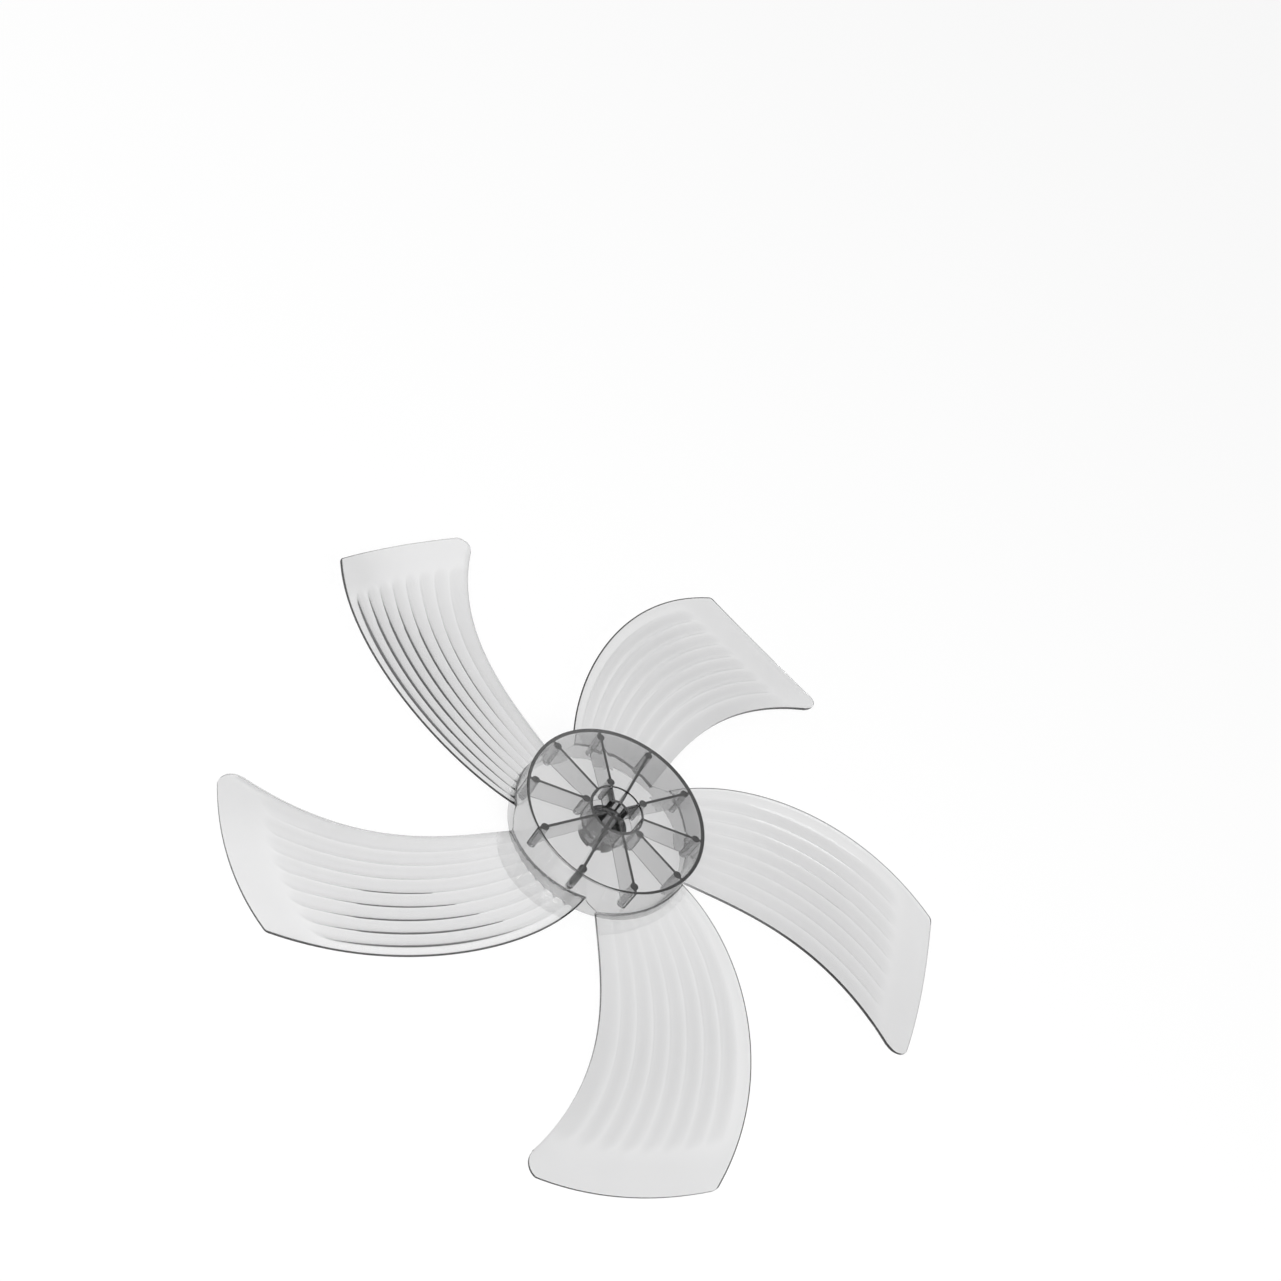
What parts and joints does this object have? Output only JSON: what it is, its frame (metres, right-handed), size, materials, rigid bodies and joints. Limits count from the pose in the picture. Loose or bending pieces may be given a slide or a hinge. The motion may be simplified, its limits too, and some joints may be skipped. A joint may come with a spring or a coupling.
{
  "type": "pedestal fan blade",
  "caption": "Corrugated, swept fan impeller in smoke-grey transparent plastic with a ribbed hub, a shaft bore and a drive-pin slot, for a pedestal fan.",
  "frame": {"origin": "on the shaft axis, in the plane of the front edge of the hub skirt, 0.9 mm in front of the bore", "axes": "+Z along the shaft axis to the rear, towards the motor; +X along the drive-pin slot"},
  "size_m": [0.3445, 0.3438, 0.0234],
  "materials": {
    "smoke_plastic": "clear smoke-grey moulding, polished"
  },
  "bodies": {
    "root": {"fan_blade": "smoke_plastic"}
  },
  "joints": []
}
